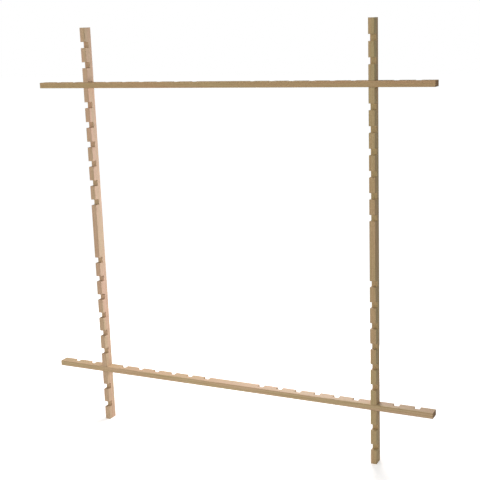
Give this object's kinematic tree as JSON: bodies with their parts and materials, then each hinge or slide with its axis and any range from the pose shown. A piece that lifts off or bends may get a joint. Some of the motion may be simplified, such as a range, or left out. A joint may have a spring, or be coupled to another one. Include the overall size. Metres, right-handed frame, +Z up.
{
  "type": "embroidery frame",
  "caption": "Adjustable stretcher frame for cloth: square notched wooden bars that lock together with flush half laps, free of any fastener.",
  "frame": {"origin": "on the ground midway between the two uprights, at the middle of the frame's depth", "axes": "+Z up along the uprights, +X along the cross bars to the viewer's right, +Y to the back; the uprights' notches face -Y and the cross bars' notches face +Y"},
  "size_m": [0.998, 0.026, 0.998],
  "materials": {
    "beech": "planed and lightly sanded, unvarnished"
  },
  "bodies": {
    "bottom_bar": {"bottom_bar": "beech"},
    "left_bar": {"left_bar": "beech"},
    "right_bar": {"right_bar": "beech"},
    "top_bar": {"top_bar": "beech"}
  },
  "joints": [
    {"name": "left_bar_lap", "type": "slide", "parent": "bottom_bar", "child": "left_bar", "axis": [0, 1, 0], "range_m": [0, 0.04]},
    {"name": "right_bar_lap", "type": "slide", "parent": "bottom_bar", "child": "right_bar", "axis": [0, 1, 0], "range_m": [0, 0.04]},
    {"name": "top_bar_lap", "type": "slide", "parent": "bottom_bar", "child": "top_bar", "axis": [0, -1, 0], "range_m": [0, 0.04]}
  ]
}
